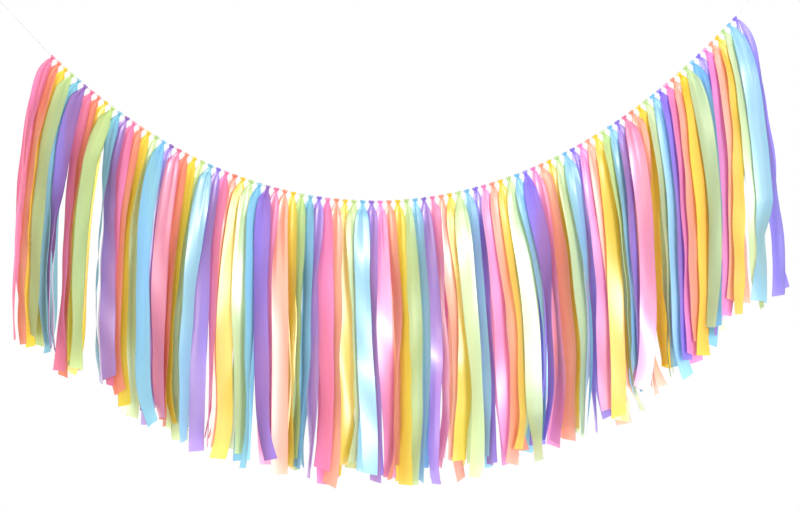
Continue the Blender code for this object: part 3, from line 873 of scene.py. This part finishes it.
def twisted_tube(line, level):
    """A twisted twine along a line. level is a direction that the line never runs in."""
    centres = evenly(line, TWIST_PITCH / TWIST_ROWS)
    forward = unit(np.gradient(centres, axis=0))
    aside = unit(np.cross(forward, level))
    up = np.cross(aside, forward)
    around = np.linspace(0.0, 2.0 * math.pi, TWINE_SIDES + 1)
    radius = STRING_THICK / 2.0 * (1.0 - STRAND_DEPTH + STRAND_DEPTH * np.cos(STRANDS * around))
    turn = 2.0 * math.pi / TWIST_ROWS * np.arange(len(centres))[:, None] + around[None]
    tube = flat_grid(TWINE_SIDES, len(centres))
    carry(tube, centres[:, None] - ORIGIN
          + (radius * np.cos(turn))[..., None] * aside[:, None]
          + (radius * np.sin(turn))[..., None] * up[:, None])
    bmesh.ops.remove_doubles(tube, verts=tube.verts, dist=MERGED_WITHIN)
    bmesh.ops.holes_fill(tube, edges=[edge for edge in tube.edges if edge.is_boundary])
    bmesh.ops.recalc_face_normals(tube, faces=tube.faces)
    return tube, centres - ORIGIN


print("a twist of the twine has", TWIST_ROWS * TWINE_SIDES, "faces")

# %% Cotton
CLEAN_COTTON = (0.62, 0.65, 0.60, 1.0)
SOILED_COTTON = (0.50, 0.54, 0.51, 1.0)
# Painted shade: the colour that darkens the cotton between its fibres, where shade falls
SHADE_BETWEEN_FIBRES = (0.2, 0.2, 0.2, 1.0)
FIBRES_PER_METRE = 2500.0
FIBRE_HEIGHT = 0.0001
# How far the painted shade between the fibres darkens the cotton
FIBRE_SHADE_DEPTH = 0.25
SOILING_PER_METRE = 60.0
cotton, fibres = new_material("string_cotton_twine")
tree = cotton.node_tree
place = node(tree, "TexCoord").outputs["Object"]
fluff = node(tree, "TexNoise", {"Vector": place, "Scale": FIBRES_PER_METRE,
                                "Detail": 3.0}).outputs["Fac"]
soiled = node(tree, "TexNoise", {"Vector": place, "Scale": SOILING_PER_METRE}).outputs["Fac"]
shade = mixed(tree, remapped(tree, soiled, *MOST_NOISE, 0.0, 1.0), CLEAN_COTTON, SOILED_COTTON)
# Painted shade between the fibres, darkest where the fluff is lowest
shadow = remapped(tree, fluff, *MOST_NOISE, FIBRE_SHADE_DEPTH, 0.0)
tree.links.new(mixed(tree, shadow, shade, SHADE_BETWEEN_FIBRES), fibres.inputs["Base Color"])
raised = node(tree, "Bump", {"Height": fluff, "Distance": FIBRE_HEIGHT}).outputs["Normal"]
tree.links.new(raised, fibres.inputs["Normal"])
fibres.inputs["Roughness"].default_value = 0.85
fibres.inputs["Sheen Weight"].default_value = 0.3
print("cotton is", cotton.name)

# %% The string, from loop to loop
STRING_POINTS = 60
LEVEL_Y = (0.0, 1.0, 0.0)


def add_twine(name, tube, *nodes):
    """Adds a piece of twine that stands for CAD nodes."""
    piece = add_piece(name, tube, cotton)
    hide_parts(*nodes)
    return piece


across, height, _ = on_curve(np.linspace(0, RIBBONS - 1, STRING_POINTS))
line = ([LEFT_END[-1] + LEFT_WAY * TIE_REACH] + LEFT_END[::-1]
        + [Vector((x, 0.0, z)) for x, z in zip(across[1:-1], height[1:-1])]
        + RIGHT_END + [RIGHT_END[-1] + RIGHT_WAY * TIE_REACH])
tube, string_line = twisted_tube(line, LEVEL_Y)
string = add_twine("twine", tube, "string")

# %% The loops and the hard knots under them
COIL_TURNS = 4.0
COIL_RADIUS = 0.0012
COIL_POINTS = 60


def add_end(side_name, end, way, loop):
    """The loop beyond a free end, and the hard knot that its coil makes round both strands."""
    tube, _ = twisted_tube([loop[0] - way * TIE_LENGTH / 2.0] + loop
                           + [loop[-1] - way * TIE_LENGTH / 2.0], LEVEL_Y)
    loop_piece = add_twine(f"twine_{side_name}_loop", tube, f"{side_name}_loop")
    coil = [end + way * (CLEAR + STRING_THICK / 2.0 + (TIE_LENGTH - STRING_THICK) * share)
            + (beside(way) * math.cos(turn) + Vector(LEVEL_Y) * math.sin(turn)) * COIL_RADIUS
            for share, turn in zip(np.linspace(0.0, 1.0, COIL_POINTS),
                                   np.linspace(0.0, 2.0 * math.pi * COIL_TURNS, COIL_POINTS))]
    tube, _ = twisted_tube(coil, way)
    return loop_piece, add_twine(f"twine_{side_name}_knot", tube, f"{side_name}_tie")


ends = (*add_end("left", LEFT_END[-1], LEFT_WAY, LEFT_LOOP),
        *add_end("right", RIGHT_END[-1], RIGHT_WAY, RIGHT_LOOP))
print("tied", [piece.name for piece in ends])

# %% [markdown]
# The ninety ribbons. Each is one sheet of cloth, hung over the string. A folded ribbon
# shows its face on one tail and its dull side on the other. Which one is in front could be chosen
# for each, but chance does it here. The dull side is in front more often at the left than at the
# right and least in the middle, and more often on a ribbon that is turned aside.

# %% Which ribbons have their dull side in front
DULL_IN_FRONT = (1.0, 0.14, 0.34)
DULL_SEED = 12
dull_chance = np.interp(np.arange(RIBBONS), (0, RIBBONS // 2, RIBBONS - 1), DULL_IN_FRONT)
dull_first = (np.random.default_rng(DULL_SEED).uniform(0.0, 1.0, RIBBONS)
              < dull_chance * np.abs(habits["first"][::2]))
print("the dull side is in front on", int(dull_first.sum()), "ribbons")

# %% The ninety ribbons
ribbons = []
for knot in range(RIBBONS):
    repeat, colour = divmod(knot, len(COLOURS))
    rows = ribbon_rows(knot)[0]
    strip = flat_grid(COLUMNS, len(rows))
    carry(strip, ribbon_places(knot))
    if dull_first[knot]:
        bmesh.ops.reverse_faces(strip, faces=strip.faces)
    ribbon = add_piece(f"ribbon_{repeat + 1:02d}_{COLOURS[colour]}", strip, satins[COLOURS[colour]])
    first = colour // 2 * 2
    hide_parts(f"repeat_{repeat + 1:02d}_{COLOURS[first]}_{COLOURS[first + 1]}")
    ribbons.append(ribbon)
print("hung", len(ribbons), "ribbons of", len(ribbons[0].data.polygons), "faces")

# %% [markdown]
# The studio. The photograph is bright and nearly without shadows: the background is white, and
# soft light fills everything. It could come from area lights alone, but they would have to stand
# all round the garland, so most of it comes from the world. That is warmer and dimmer on the left
# than on the right, and stronger from behind, where it comes through the cloth, and from the
# front. The satin also reflects a tall bright patch in front, which only glossy rays see. Two soft
# lights stand in front, the stronger one to the right. To the camera the world is plain white. The
# floor is a plain pale sheet below, and it is out of sight from the front.

# %% The light from the world
FILL = 0.78
FRONT_GLOW, FRONT_SPREAD = 0.35, (0.45, 1.0)
BACK_GLOW, BACK_SPREAD = 2.20, (-0.1, -0.8)
GLOW_WAY = Vector((0.30, -1.0, 0.15)).normalized()
WARM, COOL = (0.86, 0.81, 0.74, 1.0), (0.94, 0.97, 1.0, 1.0)
WARM_TO_COOL = (-0.6, 0.6)
world = bpy.data.worlds.new("studio")
world.use_nodes = True
sky = world.node_tree


def faces_glow(direction):
    """How nearly a direction points to where the front glow is brightest."""
    return node(sky, "VectorMath", {0: direction, 1: GLOW_WAY},
                operation="DOT_PRODUCT").outputs["Value"]


way = node(sky, "TexCoord").outputs["Generated"]
facing_glow = faces_glow(way)
rightward = node(sky, "SeparateXYZ", {0: way}).outputs["X"]
tint = mixed(sky, remapped(sky, rightward, *WARM_TO_COOL, 0.0, 1.0), WARM, COOL)
glow = remapped(sky, facing_glow, *FRONT_SPREAD, FILL, FILL + FRONT_GLOW)
back_glow = remapped(sky, facing_glow, *BACK_SPREAD, 0.0, BACK_GLOW)
around = calculated(sky, "ADD", glow, back_glow)
print("the world lights with", FILL, "and up to", FILL + BACK_GLOW, "from behind")

# %% The bright patch that the satin reflects
SHINE, SHINE_SPREAD = 3.0, (0.82, 1.0)
SHINE_FLATTER = (1.0, 1.0, 0.4)
ray = node(sky, "LightPath")
flatter = node(sky, "VectorMath", {0: way, 1: SHINE_FLATTER}, operation="MULTIPLY")
level = node(sky, "VectorMath", {0: flatter.outputs["Vector"]}, operation="NORMALIZE")
shine = remapped(sky, faces_glow(level.outputs["Vector"]), *SHINE_SPREAD, 0.0, SHINE)
reflected = calculated(sky, "MULTIPLY", shine, ray.outputs["Is Glossy Ray"])
fill = sky.nodes["Background"]
sky.links.new(tint, fill.inputs["Color"])
sky.links.new(calculated(sky, "ADD", around, reflected), fill.inputs["Strength"])
white = node(sky, "Background", {"Color": (1.0, 1.0, 1.0, 1.0), "Strength": 1.0})
seen = node(sky, "MixShader", {0: ray.outputs["Is Camera Ray"],
                               1: fill.outputs[0], 2: white.outputs[0]})
sky.links.new(seen.outputs[0], sky.nodes["World Output"].inputs["Surface"])
bpy.context.scene.world = world
bpy.context.scene.view_settings.view_transform = "Standard"
print("the world has", len(sky.nodes), "nodes")

# %% Soft lights
SOFTBOX_WIDE, SOFTBOX_HIGH = 0.9, 1.8


def softbox(name, place, power, colour):
    """A tall area light that faces the middle of the garland."""
    light = bpy.data.lights.new(name, "AREA")
    light.shape, light.size, light.size_y = "RECTANGLE", SOFTBOX_WIDE, SOFTBOX_HIGH
    light.energy, light.color = power, colour
    lamp = bpy.data.objects.new(name, light)
    lamp.location = place
    lamp.rotation_euler = (CENTRE - Vector(place)).to_track_quat("-Z", "Y").to_euler()
    bpy.context.collection.objects.link(lamp)


softbox("key", (1.9, -2.6, -0.25), 92.0, (0.91, 0.96, 1.0))
softbox("weaker_key", (-0.9, -2.7, -0.25), 22.0, (1.0, 0.90, 0.72))
print("two soft lights,", SOFTBOX_WIDE, "by", SOFTBOX_HIGH, "m")

# %% Floor
FLOOR_SIZE = 2.5
FLOOR_HEIGHT = -1.5
floor = bmesh.new()
bmesh.ops.create_grid(floor, x_segments=1, y_segments=1, size=FLOOR_SIZE)
bmesh.ops.translate(floor, verts=floor.verts, vec=(CENTRE.x, 0.0, FLOOR_HEIGHT))
ground = bpy.data.meshes.new("floor")
floor.to_mesh(ground)
floor.free()
pale, paint = new_material("pale_floor")
paint.inputs["Base Color"].default_value = (0.9, 0.9, 0.9, 1.0)
ground.materials.append(pale)
ground_piece = bpy.data.objects.new("floor", ground)
bpy.context.collection.objects.link(ground_piece)
print("the floor is", ground_piece.dimensions.x, "m wide")
